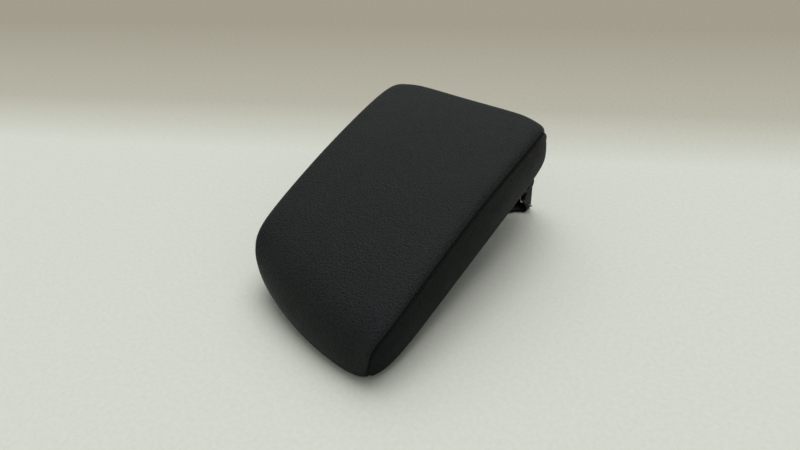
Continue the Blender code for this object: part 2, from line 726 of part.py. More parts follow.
def build_hinge_plate(lid, pitch, material):
    """One pressed part in the lid's frame: the screwed plate, an arm down each side, and the heels."""
    ear, washer, arm, flange = stack_positions()
    web_top = FOAM_FLOOR + ARM_SHEET
    pin = (PIN_IN_LID.y, PIN_IN_LID.z)
    mesh = channel("hinge_plate", arm[1], ARM_SHEET, ARM_BEND, pin[1] - 0.03, web_top, PLATE_FRONT - 0.002,
                   PIN_IN_LID.y + 0.03, True)
    plate = thicken(add_object("hinge_plate", mesh, material, lid, -PIN_IN_LID), ARM_SHEET)
    heel = HEEL_ANGLE + pitch
    along = (-math.cos(heel), math.sin(heel))
    across = (along[1], -along[0])
    start_heel = math.atan2(along[1], along[0])
    tip = [pin[i] + along[i] * (HEEL_LENGTH - HEEL_HALF_WIDTH) for i in (0, 1)]
    tip_round = arc(tip, HEEL_HALF_WIDTH, start_heel + math.pi / 2, start_heel - math.pi / 2, 5)
    root = [(pin[0] + along[0] * 0.007 + across[0] * s * HEEL_HALF_WIDTH,
             pin[1] + along[1] * 0.007 + across[1] * s * HEEL_HALF_WIDTH) for s in (-1, 1)]
    under = arc(pin, EAR_RADIUS, start_heel - math.radians(35), math.radians(-200), 9)
    outline = ([(PLATE_REAR, web_top + 0.001), (PLATE_REAR, FOAM_FLOOR - 0.004),
                (pin[0] + EAR_RADIUS, pin[1] + 0.010)] + [root[0]] + tip_round + [root[1]] + under
               + [(PLATE_FRONT + 0.004, FOAM_FLOOR - 0.004), (PLATE_FRONT, FOAM_FLOOR - 0.0005),
                  (PLATE_FRONT, web_top + 0.001)])
    boolean(plate, [sheet("side_outline", outline, 0.2, "X", -0.1)], "INTERSECT")
    cuts = [rod("bush_hole", PIN_RADIUS + 0.0018, (-0.1, *pin), (0.1, *pin)),
            rods("screw_holes", (SCREW_SHANK + PIN_FIT) * 1.6, HINGE_SCREW_SPOTS, -0.01, 0.02, 12),
            box("plate_window", (-0.012, PLATE_FRONT + 0.007, -0.01), (0.012, PLATE_FRONT + 0.023, 0.02))]
    return boolean(plate, cuts)


def build_pin(material):
    """The pin with its head on the right, and the retaining ring in a groove on the left."""
    head = (FOOT_HALF_WIDTH + CLEAR, FOOT_HALF_WIDTH + 0.0028)
    groove = (-FOOT_HALF_WIDTH - CLEAR - 0.0014, -FOOT_HALF_WIDTH - CLEAR)
    neck = PIN_RADIUS - 0.0008
    end = groove[0] - 0.002
    profile = [(0.0, head[1]), (0.0060, head[1]), (0.0068, head[1] - 0.0008), (0.0068, head[0]),
               (PIN_RADIUS, head[0]), (PIN_RADIUS, groove[1]), (neck, groove[1]), (neck, groove[0]),
               (PIN_RADIUS, groove[0]), (PIN_RADIUS, end + 0.0006), (PIN_RADIUS - 0.0006, end), (0.0, end)]
    turned("hinge_pin", profile, material, None, (0, 0, PIN_HEIGHT), "X")
    inner = neck + PIN_FIT
    low, high = groove[0] + 0.0002, groove[1] - 0.0002
    ring = [(inner, high), (PIN_RADIUS + 0.0026, high), (PIN_RADIUS + 0.0026, low), (inner, low)]
    clip = turned("pin_clip", ring, material, None, (0, 0, PIN_HEIGHT), "X", ring=True)
    mouth = box("mouth", (0.0, -0.0022, -0.1), (0.01, 0.0022, 0.1))
    return boolean(clip, [mouth])


def build_bearings(lid, materials):
    """Flanged bushes in the arms, friction washers against the ears, and the stop rivets."""
    ear, washer, arm, flange = stack_positions()
    stop_y, stop_z = stop_spot()
    stop = (0, stop_y, PIN_HEIGHT + stop_z)
    black = materials["black_steel"]
    for name, side in (("right", 1), ("left", -1)):
        bore = PIN_RADIUS + 0.0001
        sleeve = bore + 0.0014
        collar = sleeve + 0.0025
        bush = [(bore, arm[1]), (sleeve, arm[1]), (sleeve, flange[1]), (collar, flange[1]),
                (collar, flange[0]), (bore, flange[0])]
        disc = [(bore, washer[1]), (EAR_RADIUS - 0.001, washer[1]), (EAR_RADIUS - 0.001, washer[0]),
                (bore, washer[0])]
        head = ear[1] + CLEAR
        rivet = [(0.0, head + 0.0012), (STOP_RADIUS + 0.0010, head + 0.0012), (STOP_RADIUS + 0.0018, head),
                 (STOP_RADIUS, head), (STOP_RADIUS, arm[0]), (0.0, arm[0])]
        if side < 0:
            bush, disc, rivet = [[(r, -x) for r, x in reversed(p)] for p in (bush, disc, rivet)]
        turned(f"bush_{name}", bush, materials["bush"], lid, (0, 0, 0), "X", ring=True)
        turned(f"washer_{name}", disc, black, None, (0, 0, PIN_HEIGHT), "X", ring=True)
        turned(f"stop_rivet_{name}", rivet, black, None, stop, "X", 12)


def build_springs(pitch, material):
    """Torsion springs round the pin: a leg under the hinge plate, and a tail through the ear."""
    ear, washer, arm, flange = stack_positions()
    tail_y, tail_z = spring_tail_spot()
    outer = flange[0] - 0.0020
    length = SPRING_TURNS * SPRING_WIRE * 2.3
    tail_angle = math.radians(200)
    turns = SPRING_TURNS + 0.30
    plate_under = (FOAM_FLOOR - PIN_IN_LID.z) - SPRING_WIRE - CLEAR
    leg_y, leg_z = leg_end(plate_under, pitch)
    tail_drop = tail_z - PIN_HEIGHT
    for name, side in (("right", 1), ("left", -1)):
        points = coil(SPRING_RADIUS, outer, outer - length, tail_angle, turns)
        points.append((outer - length, leg_y, leg_z))
        lead = [(ear[1] + 0.0035, tail_y, tail_drop),
                (ear[0] - 0.0005, tail_y, tail_drop),
                (outer + 0.0012, tail_y - 0.001, tail_drop + 0.002),
                (outer + 0.0004, tail_y - 0.001, -0.012)]
        places = [(side * x, y, z) for x, y, z in lead + points]
        wire(f"spring_{name}", places, SPRING_WIRE, material, None, (0, 0, PIN_HEIGHT))


def leg_end(height, pitch):
    """The end of a spring's leg, at a height above the pin in the lid's frame, in world axes."""
    y = -SPRING_LEG * math.cos(pitch) - height * math.sin(pitch)
    z = -SPRING_LEG * math.sin(pitch) + height * math.cos(pitch)
    return y, z


# The latch

def build_latch_housing(lid, material):
    """A moulded box, open below, that carries the latch pin, with an ear for a screw on each side."""
    half_width, front, rear = LATCH_OPENING
    wall = HOUSING_WALL
    low = PANEL_WALL - PANEL_DROP + CLEAR
    body = box("latch_housing", (-half_width - wall, front - wall, low),
               (half_width + wall, rear + wall, HOUSING_TOP))
    housing = add_object("latch_housing", body, material, lid, -PIN_IN_LID)
    ear_y = HOUSING_SCREW_SPOTS[0][1]
    ear_x = HOUSING_SCREW_SPOTS[1][0] + 0.0055
    ears = [box("ears", (-ear_x, ear_y - 0.0055, HOUSING_EAR[0]), (ear_x, ear_y + 0.0055, HOUSING_EAR[1]))]
    boolean(housing, ears, "UNION")
    hollow = box("hollow", (-half_width, front, low - 0.01), (half_width, rear, HOUSING_TOP - wall))
    cuts = [hollow,
            rod("pin_hole", LATCH_PIN_RADIUS + 0.0001, (-0.1, *LATCH_PIVOT.yz), (0.1, *LATCH_PIVOT.yz), 12),
            rods("screw_holes", SCREW_SHANK + PIN_FIT, HOUSING_SCREW_SPOTS, 0.0, 0.02, 12)]
    return boolean(housing, cuts)


def build_latch_lever(latch, material):
    """Paddle, barrel and hook, moulded in one.

    The paddle's tip rests on the inner panel. Pushed up, it swings the hook forward.
    """
    barrel = LATCH_PIN_RADIUS + 0.0028
    half = LATCH_HALF_WIDTH
    round_part = rod("latch_lever", barrel, (-half, 0, 0), (half, 0, 0), 16)
    lever = add_object("latch_lever", round_part, material, latch)
    tip = -PADDLE_TIP
    step = tip + PADDLE_STEP
    rest = PANEL_WALL - PANEL_DROP + 0.0004 - LATCH_PIVOT.z
    paddle = [(0.0, -0.0035), (-0.0160, -0.0096), (step, -0.0096), (step, rest), (tip, rest),
              (tip, rest + 0.0022), (-0.0150, rest + 0.0022), (-0.0035, 0.0020)]
    hook = [(-0.0036, 0.0), (-0.0032, -0.0120), (-0.0005, -0.0162), (0.0020, -0.0162), (0.0062, -0.0128),
            (0.0062, -0.0108), (0.0030, -0.0108), (0.0030, 0.0)]
    boolean(lever, [sheet("paddle", paddle, 2 * half - 0.0004, "X", 0.0002 - half),
                    sheet("hook", hook, 0.010, "X", -0.005)], "UNION")
    cuts = [rod("pin_hole", LATCH_PIN_RADIUS + 0.0001, (-0.1, 0, 0), (0.1, 0, 0), 12),
            box("spring_window", (0.0072, -0.0045, -0.006), (0.0148, 0.01, 0.01))]
    return boolean(lever, cuts)


def build_latch(lid, materials):
    build_latch_housing(lid, materials["plastic"])
    latch = add_empty("latch_axis", lid, LATCH_PIVOT - PIN_IN_LID)
    build_latch_lever(latch, materials["plastic"])
    reach = LATCH_OPENING[0] + HOUSING_WALL
    pin = [(0.0, reach), (LATCH_PIN_RADIUS, reach), (LATCH_PIN_RADIUS, -reach), (0.0, -reach)]
    turned("latch_pin", pin, materials["steel"], lid, LATCH_PIVOT - PIN_IN_LID, "X", 12)
    thin = 0.0004
    ring = LATCH_PIN_RADIUS + 0.0008
    ceiling = HOUSING_TOP - HOUSING_WALL - LATCH_PIVOT.z - CLEAR - thin
    turns = 2.25
    points = [(0.0086, -0.0120, -0.0024), (0.0086, -0.0055, 0.0022)]
    points += coil(ring, 0.0086, 0.0132, math.radians(90), turns, 8)
    points.append((0.0132, 0.004, ceiling))
    wire("latch_spring", points, thin, materials["steel"], latch)


# Fasteners and rubber stops

def screw_profile(head_radius, head_height, shank, length):
    """A pan head downwards and the shank upwards, seen from the top of the shank."""
    return [(0.0, length), (shank * 0.6, length), (shank, length - 0.0015), (shank, 0.0),
            (head_radius, 0.0), (head_radius, -head_height * 0.4), (head_radius * 0.7, -head_height),
            (0.0, -head_height)]


def build_screws(lid, material):
    """Sets of screws: name, spots, the seat, the head's radius and height, the shank's radius and length."""
    sets = [("panel_screw", side_spots(PANEL_SCREW_ROWS), -PANEL_DROP - CLEAR,
             (0.0036, 0.0018), SCREW_SHANK, SCREW_REACH),
            ("hinge_screw", HINGE_SCREW_SPOTS, FOAM_FLOOR - CLEAR,
             (0.0056, 0.0028), SCREW_SHANK * 1.5, SCREW_REACH),
            ("latch_housing_screw", HOUSING_SCREW_SPOTS, HOUSING_EAR[0] - CLEAR,
             (0.0034, 0.0016), SCREW_SHANK, SCREW_REACH * 0.8)]
    for name, spots, seat, head, shank, length in sets:
        for number, (x, y) in enumerate(spots, 1):
            place = Vector((x, y, seat)) - PIN_IN_LID
            turned(f"{name}_{number}", screw_profile(*head, shank, length), material, lid, place, steps=8)


def build_bumpers(lid, material):
    """Rubber stops with a neck through the inner panel."""
    neck = BUMPER_RADIUS * 0.5
    under = -CLEAR
    above = PANEL_WALL + CLEAR
    profile = [(0.0, above + 0.0014), (neck + 0.0004, above + 0.0010), (neck + 0.0008, above),
               (neck, above), (neck, under), (BUMPER_RADIUS, under), (BUMPER_RADIUS, under - 0.0014),
               (BUMPER_RADIUS * 0.7, under - 0.0030), (0.0, under - 0.0030)]
    for number, (x, y) in enumerate(side_spots(BUMPER_ROWS), 1):
        place = Vector((x, y, -PANEL_DROP)) - PIN_IN_LID
        turned(f"bumper_{number}", profile, material, lid, place, steps=12)


def rest_pitch(outline):
    """How far the lid must turn down on its pin for its lowest point to meet the ground."""
    cloud = []
    for point, normal in outline:
        cloud += section(point, normal)[0]
    low, high = 0.0, math.radians(45)
    for _ in range(40):
        pitch = (low + high) / 2
        sine, cosine = math.sin(pitch), math.cos(pitch)
        lowest = min((p.y - PIN_IN_LID.y) * sine + (p.z - PIN_IN_LID.z) * cosine for p in cloud)
        if PIN_HEIGHT + lowest > 0:
            low = pitch
        else:
            high = pitch
    return low


def main():
    start_afresh()
    materials = {
        "leather": make_material("black_leather", (0.020, 0.021, 0.021), 0.5),
        "foam": make_material("grey_foam", (0.25, 0.25, 0.23), 0.95),
        "plastic": make_material("black_plastic", (0.022, 0.022, 0.022), 0.55),
        "black_steel": make_material("painted_steel", (0.012, 0.012, 0.012), 0.4, 0.3),
        "steel": make_material("zinc_steel", (0.55, 0.56, 0.58), 0.35, 1.0),
        "bush": make_material("bush_plastic", (0.55, 0.53, 0.47), 0.6),
        "rubber": make_material("black_rubber", (0.015, 0.015, 0.015), 0.8),
    }
    outline = even_outline(COVER_POINTS)
    shell_outline = even_outline(SHELL_POINTS)
    pitch = rest_pitch(outline)
    lid = add_empty("lid_axis", None, (0, 0, PIN_HEIGHT), pitch)
    build_cover(outline, lid, materials["leather"])
    build_foam(outline, lid, materials["foam"])
    build_shell(shell_outline, lid, materials["plastic"])
    build_inner_panel(shell_outline, lid, materials["plastic"])
    build_hinge_plate(lid, pitch, materials["black_steel"])
    build_bracket(materials["black_steel"])
    build_pin(materials["black_steel"])
    build_bearings(lid, materials)
    build_springs(pitch, materials["steel"])
    build_latch(lid, materials)
    build_screws(lid, materials["steel"])
    build_bumpers(lid, materials["rubber"])


main()
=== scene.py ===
"""The looks of the car armrest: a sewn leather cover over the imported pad, and finishes for all pieces.

Metres, Z up, front towards -Y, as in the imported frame. The cover is drawn in the lid's own frame (x to
the right, y to the rear, z = 0 on the rim's plane) from the pad's named sizes. A short cloth simulation
swells it a little over its foam, and then it gets its sewn seam.
"""

import json
import math

import bmesh
import bpy
from mathutils import Matrix, Vector
from mathutils.kdtree import KDTree

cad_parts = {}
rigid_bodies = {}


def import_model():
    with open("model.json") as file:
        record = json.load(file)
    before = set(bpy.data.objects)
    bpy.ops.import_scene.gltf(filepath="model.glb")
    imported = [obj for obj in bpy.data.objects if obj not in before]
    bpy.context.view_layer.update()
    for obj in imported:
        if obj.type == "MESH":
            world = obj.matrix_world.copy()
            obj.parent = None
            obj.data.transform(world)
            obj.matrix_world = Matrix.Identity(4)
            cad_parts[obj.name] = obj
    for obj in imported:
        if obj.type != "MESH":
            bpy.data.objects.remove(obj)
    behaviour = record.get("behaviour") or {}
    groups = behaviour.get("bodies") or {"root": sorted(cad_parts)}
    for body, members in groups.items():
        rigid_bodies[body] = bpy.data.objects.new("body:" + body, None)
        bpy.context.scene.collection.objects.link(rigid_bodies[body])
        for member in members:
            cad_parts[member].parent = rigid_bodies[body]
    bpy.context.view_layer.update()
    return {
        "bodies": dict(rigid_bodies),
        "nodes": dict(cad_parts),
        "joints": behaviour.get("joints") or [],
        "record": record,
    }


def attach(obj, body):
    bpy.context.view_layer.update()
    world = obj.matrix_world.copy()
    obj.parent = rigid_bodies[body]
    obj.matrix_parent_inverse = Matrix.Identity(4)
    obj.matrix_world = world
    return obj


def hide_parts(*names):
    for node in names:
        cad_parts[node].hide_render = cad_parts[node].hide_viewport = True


# The pad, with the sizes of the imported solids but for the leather, which is 0.1 mm thinner
LID_LENGTH = 0.300
REAR_HALF_WIDTH = 0.0950
FRONT_HALF_WIDTH = 0.0880
FRONT_BOW = 0.013               # the front edge's ends lie this far behind its middle
FRONT_SKEW = 0.020              # and its right end lies this far ahead, its left end as far behind
CORNER_POWER = 8.5              # power of the superellipse that rounds the corners
REAR_HEIGHT = 0.0470
FRONT_HEIGHT = 0.0450
TOP_ARCH = 0.0110
SIDE_ROLL = (0.016, 0.0065)     # how far the top rolls off inwards, and how far it drops
FRONT_ROLL = (0.046, 0.0375)
REAR_ROLL = (0.016, 0.0330)
SIDE_BULGE = 0.0015
RIM_RADIUS = 0.0040
TURN_IN = 0.0120                # the cover is turned in under the rim as far as this
LEATHER = 0.0013

# Where the lid hangs
PIN_HEIGHT = 0.0380
PIN_IN_LID = Vector((0.0, LID_LENGTH / 2 - 0.0275, -0.0310))
LID_PITCH = math.radians(14.274)

# The seam: its course round the plan's square, whose corners are at 45 degrees, and its groove and ridge
SEAM_STRAIGHT = math.radians(41)
SEAM_END = math.radians(56)
SEWN_FADE = (0.03, 0.42)        # the groove fades out over these shares of the seam's way down
SEAM_DEPTH = 0.0009
SEAM_WIDTH = 0.0009
SHOULDER_DEPTH = 0.0005         # the top panel slopes down softly towards its groove
SHOULDER_WIDTH = 0.0040
RIDGE_HEIGHT = 0.0008           # the side panels' folded edge stands up beside the groove
RIDGE_PLACE = 0.0020
RIDGE_WIDTH = 0.0007
STITCH_PITCH = 0.0032
GATHER_REACH = (0.0004, 0.0034)     # the gathering fades out over these distances off the seam

# The grid that the cover is made from: one column per section round the pad, rows across them
OUTLINE_STEPS = 90
ROLL_STEPS = 12                 # points of a section over the roll, and as many down the side
RIM_STEPS = 8
COLUMNS = 144
SINKING_WEIGHT = 0.3            # how much closer the columns stand where the seam runs down
TURN_LENGTH = 0.020             # a turn of one radian counts as this much length when rows are spread
CROWN_SHARES = (0.25, 0.5, 0.75)    # rows over the crown, at these shares of the way to the roll
SKIN_ROWS = 16                  # rows of the plain skin that is simulated
FAR_ROWS = 9
NEAR_SEAM = (0.0062, 0.0034, 0.0016, 0.0006)
NEAR_SHARE = 0.6                # the rows near the seam take no more than this share of a narrow panel
LOOSE_FADE = (0.008, 0.014)     # a strip this wide up to the seam goes from close rows to even rows
SLANT_LIMIT = 2.0
SLANT_PASSES = 6
OFF_SEAM = 1.0                  # stands for a place far from any seam
MERGE_DISTANCE = 0.00002
SUBDIVISIONS = 2

# The cloth simulation
CLOTH_CELL = 0.0055
CLOTH_FRAMES = 20
CLOTH_SETTINGS = {
    "quality": 6,
    "mass": 0.3,
    "tension_stiffness": 25,
    "compression_stiffness": 25,
    "shear_stiffness": 10,
    "bending_stiffness": 4,
    "use_pressure": True,
    "uniform_pressure_force": 4.0,
}
HOLD_BY_SEAM = (0.006, 0.018)   # held up to the first distance, free from the second
HOLD_BY_RIM = (0.004, 0.010)
SWELL_CAP = 0.0012
SWELL_BY_SEAM = (0.0, 0.012)    # the move grows over these distances
SWELL_BY_RIM = (0.002, 0.010)
SWELL_NEIGHBOURS = 10
SWELL_BLUR = 0.002

# The cover's pieces and what they replace
COVERED_NODES = {
    "cover_top": ("cover_top_panel", "foam_pad"),
    "cover_right": ("cover_side_right",),
    "cover_left": ("cover_side_left",),
}
INSIDE_LID = (0, 0, 0.02)       # any point inside the pad

# Colours. Pairs are the two ends of an uneven tone, and the leather's third is painted shade for the
# creases of its grain.
LEATHER_TONES = ((0.0148, 0.0172, 0.0160), (0.0160, 0.0184, 0.0192), (0.0060, 0.0070, 0.0070))
# Lit and shaded copies of one leather: the top's tone is raised as painted light, and the sides' tone is
# lowered as painted shade with less gloss
TOP_LEATHER_PAINTED_LIGHT = (1.22, 0.066)     # shade and gloss
SIDE_LEATHER_PAINTED_SHADE = (0.66, 0.030)
PLASTIC_TONES = ((0.0120, 0.0122, 0.0125), (0.0190, 0.0190, 0.0190))
SCUFFED_PLASTIC = (0.045, 0.045, 0.044)
COATING = (0.0030, 0.0030, 0.0032)
WORN_COATING = (0.016, 0.015, 0.014)
ZINC_TONES = ((0.44, 0.45, 0.48), (0.60, 0.60, 0.58))
DULL_ZINC = (0.20, 0.19, 0.18)
RUBBER = (0.012, 0.012, 0.012)
RUBBER_DUST = (0.050, 0.048, 0.044)
FOAM_TONES = ((0.27, 0.27, 0.25), (0.24, 0.23, 0.20))
# painted shade for the foam's pits
FOAM_PIT_SHADE = (0.10, 0.10, 0.095)
BUSH_TONES = ((0.50, 0.48, 0.40), (0.62, 0.60, 0.53))
SHEET_TONES = ((0.605, 0.628, 0.562), (0.665, 0.688, 0.620))
# Darker, warmer tones behind the sheet: painted shade of the rising backdrop, laid on the flat floor
RISE_SHADE_TONES = ((0.425, 0.412, 0.340), (0.478, 0.464, 0.385))
BACKDROP_SHADE_TONES = ((0.318, 0.292, 0.228), (0.366, 0.338, 0.268))

# How rough each finish is, from one end of its unevenness to the other
LEATHER_ROUGHNESS = (0.39, 0.47)
PLASTIC_ROUGHNESS = (0.46, 0.60)
COATING_ROUGHNESS = (0.36, 0.52)
ZINC_ROUGHNESS = (0.26, 0.48)
RUBBER_ROUGHNESS = (0.72, 0.90)
FOAM_ROUGHNESS = (0.98, 0.88)
BUSH_ROUGHNESS = (0.38, 0.52)
FLOOR_ROUGHNESS = 0.85
MOST_NOISE = (0.3, 0.7)         # most values of a noise texture lie in here
MID_NOISE = (0.35, 0.65)        # and this leaves some out at both ends, for plainer patches

# The floor: the sheet turns into painted shade, for the backdrop that rises behind it, over these
# distances behind a line across the floor
FLOOR_REACH = 3.0
FLOOR_DROP = 0.0002             # below the part's foot, so that their faces don't coincide
FLOOR_LINE_SLOPE = 0.523
SHEET_TO_RISE = (0.08, 0.22)
RISE_TO_BACKDROP = (0.22, 0.55)

# Camera and light
CAMERA_PLACE = Vector((0.3246, -0.5256, 0.4348))
CAMERA_FORWARD = Vector((-0.4972, 0.6116, -0.6154))
CAMERA_RIGHT = Vector((0.7995, 0.5985, -0.0511))
FOCAL_PIXELS = 658.0
IMAGE_WIDTH = 800
SENSOR_WIDTH = 36.0
CLIP_START = 0.01
LAMPS = (   # name, direction towards it, how wide it is, share of the light
    ("key", Vector((-0.30, 0.44, 0.85)), math.radians(60), 0.32),
    ("overhead", Vector((-0.05, 0.32, 1.00)), math.radians(45), 0.34),
)
ROOM_SHARE = 0.37
ROOM_WARMTH = 0.98


# The pad's surface

def unit_outline():
    """Points (forward, sideways) of a superellipse of half length 1, from the front's middle on."""
    steps = OUTLINE_STEPS
    diagonal = 0.5 ** (1 / CORNER_POWER)
    values = [diagonal * k / steps for k in range(-steps, steps)]
    reach = {v: (1 - abs(v) ** CORNER_POWER) ** (1 / CORNER_POWER) for v in values}
    front = [(reach[v], v) for v in values]
    right = [(-v, reach[v]) for v in values]
    rear = [(-reach[v], -v) for v in values]
    left = [(v, -reach[v]) for v in values]
    outline = front + right + rear + left
    return outline[steps:] + outline[:steps]


def in_plan(forward, sideways, side=0.0, front=0.0, rear=0.0):
    """The place in the lid's plan of a point of the unit outline, with the edges moved in by insets."""
    share = (forward + 1) / 2
    half_width = REAR_HALF_WIDTH + (FRONT_HALF_WIDTH - REAR_HALF_WIDTH) * share - side
    x = sideways * half_width
    if forward < 0:
        return x, -forward * (LID_LENGTH / 2 - rear)
    lag = FRONT_BOW * sideways ** 2 - FRONT_SKEW * sideways
    return x, forward * (lag + front - LID_LENGTH / 2)


def seam_share(point):
    """How far down its section the seam has run: 0 at the roll's foot, 1 at the turned-in edge."""
    way_round = math.atan2(abs(point[0]), abs(point[1]))
    share = (way_round - SEAM_STRAIGHT) / (SEAM_END - SEAM_STRAIGHT)
    return min(1.0, max(0.0, share)) ** 2


def even_outline(count):
    """Outline points with their outward normals.

    They stand closer together where the outline turns or the seam runs down.
    """
    fine = unit_outline()
    places = [Vector(in_plan(*point)) for point in fine]
    total = len(fine)
    headings = [places[(k + 1) % total] - places[k] for k in range(total)]
    lengths = [heading.length for heading in headings]
    turns = [abs(headings[k - 1].angle_signed(headings[k])) for k in range(total)]
    perimeter = sum(lengths)
    shares = [seam_share(point) for point in fine]
    travelled = [0.0]
    for k in range(total):
        sinking = abs(shares[(k + 1) % total] - shares[k])
        step = lengths[k] / perimeter + turns[(k + 1) % total] / math.pi
        step += SINKING_WEIGHT * sinking
        travelled.append(travelled[-1] + step)
    outline = []
    for number in range(count):
        goal = travelled[-1] * number / count
        k = max(i for i in range(total) if travelled[i] <= goal)
        share = (goal - travelled[k]) / (travelled[k + 1] - travelled[k])
        a, b = fine[k], fine[(k + 1) % total]
        point = (a[0] + (b[0] - a[0]) * share, a[1] + (b[1] - a[1]) * share)
        heading = headings[k].lerp(headings[(k + 1) % total], share).normalized()
        outline.append((point, Vector((heading.y, -heading.x))))
    return outline


def top_height(y):
    """The crowned top's height above the rim."""
    along = max(-1.0, min(1.0, -y / (LID_LENGTH / 2)))
    level = (REAR_HEIGHT + FRONT_HEIGHT) / 2 + (FRONT_HEIGHT - REAR_HEIGHT) / 2 * along
    return level + TOP_ARCH * (1 - along ** 2)


def roll_drop(normal):
    """How far the top rolls off where the outline faces the normal."""
    front = normal.y ** 2 if normal.y < 0 else 0.0
    rear = normal.y ** 2 if normal.y > 0 else 0.0
    return normal.x ** 2 * SIDE_ROLL[1] + front * FRONT_ROLL[1] + rear * REAR_ROLL[1]


def roll_core(point):
    """Where the roll starts, in plan."""
    return Vector(in_plan(*point, side=SIDE_ROLL[0], front=FRONT_ROLL[0], rear=REAR_ROLL[0]))


def section(point, normal):
    """The pad's section from the roll's start down to the rim and in under it."""
    steps = ROLL_STEPS
    core = roll_core(point)
    edge = Vector(in_plan(*point))
    drop = roll_drop(normal)
    points = []
    for k in range(steps + 1):
        angle = math.pi / 2 * k / steps
        place = core.lerp(edge, math.sin(angle))
        points.append(Vector((*place, top_height(place.y) - drop * (1 - math.cos(angle)))))
    foot = points[-1].z
    for k in range(1, steps + 1):
        share = k / steps
        place = edge + normal * SIDE_BULGE * normal.x ** 2 * math.sin(math.pi * share)
        points.append(Vector((*place, foot + (RIM_RADIUS - foot) * share)))
    for k in range(1, RIM_STEPS + 1):
        angle = math.pi / 2 * k / RIM_STEPS
        inset = RIM_RADIUS * (1 - math.cos(angle))
        place = in_plan(*point, side=inset, front=inset, rear=inset)
        points.append(Vector((*place, RIM_RADIUS * (1 - math.sin(angle)))))
    place = in_plan(*point, side=TURN_IN, front=TURN_IN, rear=TURN_IN)
    points.append(Vector((*place, 0.0)))
    return points


def lengths_along(points):
    """Distance travelled at each point, and the same with turning counted as extra length."""
    travelled, weighted = [0.0], [0.0]
    for k in range(1, len(points)):
        step = points[k] - points[k - 1]
        turn = 0.0
        if k > 1:
            turn = (points[k - 1] - points[k - 2]).angle(step, 0.0)
        travelled.append(travelled[-1] + step.length)
        weighted.append(weighted[-1] + step.length + TURN_LENGTH * turn)
    return travelled, weighted


def between(values, keys, goal):
    """The value at a goal among rising keys, read off by straight lines."""
    for k in range(1, len(keys)):
        if goal <= keys[k] or k == len(keys) - 1:
            span = keys[k] - keys[k - 1]
            share = (goal - keys[k - 1]) / span if span > 0 else 0.0
            return values[k - 1] + (values[k] - values[k - 1]) * min(1.0, max(0.0, share))


def smooth_share(value, low, high):
    """0 up to low, 1 from high on, and a smooth rise between."""
    share = min(1.0, max(0.0, (value - low) / (high - low)))
    return share * share * (3 - 2 * share)


class Column:
    """One section of the pad, with the place where the seam crosses it.

    Seam, rim and length are distances down the section. Run is the distance along the seam. Slant says
    how much further off the seam is down the column than at a right angle to it. Sewn fades the groove.
    """

    def __init__(self, point, normal):
        self.point = point
        self.normal = normal
        self.points = section(point, normal)
        self.travelled, self.weighted = lengths_along(self.points)
        self.length = self.travelled[-1]
        self.rim = self.travelled[2 * ROLL_STEPS]
        self.share = seam_share(point)
        foot = self.weighted[ROLL_STEPS]
        goal = foot + (self.weighted[-1] - foot) * self.share
        self.seam = between(self.travelled, self.weighted, goal)
        self.sewn = 1.0 - smooth_share(self.share, *SEWN_FADE)
        self.run = 0.0
        self.slant = 1.0

    def place(self, distance):
        """The point at a distance down the section."""
        return between(self.points, self.travelled, min(distance, self.length))

    def spread(self, start, end, count):
        """Distances from start to end, closer together where the section turns."""
        first = between(self.weighted, self.travelled, start)
        last = between(self.weighted, self.travelled, end)
        goals = [first + (last - first) * k / count for k in range(count + 1)]
        return [between(self.travelled, self.weighted, goal) for goal in goals]


def make_columns():
    """The sections round the pad, from the front's middle on."""
    columns = [Column(*item) for item in even_outline(COLUMNS)]
    count = len(columns)
    for k, column in enumerate(columns):
        before, after = columns[k - 1], columns[(k + 1) % count]
        across = (Vector(in_plan(*after.point)) - Vector(in_plan(*before.point))).length
        slope = (after.seam - before.seam) / across
        column.slant = min(SLANT_LIMIT, math.sqrt(1 + slope * slope))
    for _ in range(SLANT_PASSES):
        slants = [column.slant for column in columns]
        for k, column in enumerate(columns):
            column.slant = (slants[k - 1] + slants[k] + slants[(k + 1) % count]) / 3
    for before, column in zip(columns, columns[1:]):
        column.run = before.run + (column.place(column.seam) - before.place(before.seam)).length
    return columns


# Cover meshes

def add_object(name, data):
    obj = bpy.data.objects.new(name, data)
    bpy.context.scene.collection.objects.link(obj)
    return obj


def grid_mesh(name, rows, centre=None, closed=True):
    """A mesh from rows of (place, distance off the seam, distance along it, how far it is sewn)."""
    bm = bmesh.new()
    off = bm.verts.layers.float.new("seam_off")
    run = bm.verts.layers.float.new("seam_run")
    sewn = bm.verts.layers.float.new("sewn")

    def vertex(item):
        vert = bm.verts.new(item[0])
        vert[off], vert[run], vert[sewn] = item[1:]
        return vert

    made = [[vertex(item) for item in row] for row in rows]
    count = len(rows[0])
    last = count if closed else count - 1
    for upper, lower in zip(made, made[1:]):
        for k in range(last):
            after = (k + 1) % count
            bm.faces.new((upper[k], lower[k], lower[after], upper[after]))
    if centre is not None:
        middle = vertex((centre, OFF_SEAM, 0.0, 0.0))
        for k in range(count):
            bm.faces.new((middle, made[0][k], made[0][(k + 1) % count]))
    bmesh.ops.remove_doubles(bm, verts=bm.verts, dist=MERGE_DISTANCE)
    mesh = bpy.data.meshes.new(name)
    bm.to_mesh(mesh)
    bm.free()
    return mesh


def near_offsets(column, room):
    """Distances off the seam for the rows beside it, squeezed where the panel is narrow."""
    wanted = [offset * column.slant for offset in NEAR_SEAM]
    squeeze = min(1.0, NEAR_SHARE * room / wanted[0]) if room > 0 else 0.0
    return [offset * squeeze for offset in wanted]


def grid_points(column, distances):
    """What grid_mesh needs for the points of a column at some distances."""
    points = []
    for distance in distances:
        off = (column.seam - distance) / column.slant
        points.append((column.place(distance), off, column.run, column.sewn))
    return points


def crown_ring(columns, share):
    """Places on the crowned top, at a share of the way from its middle to where the roll starts."""
    cores = [roll_core(column.point) * share for column in columns]
    return [Vector((x, y, top_height(y))) for x, y in cores]


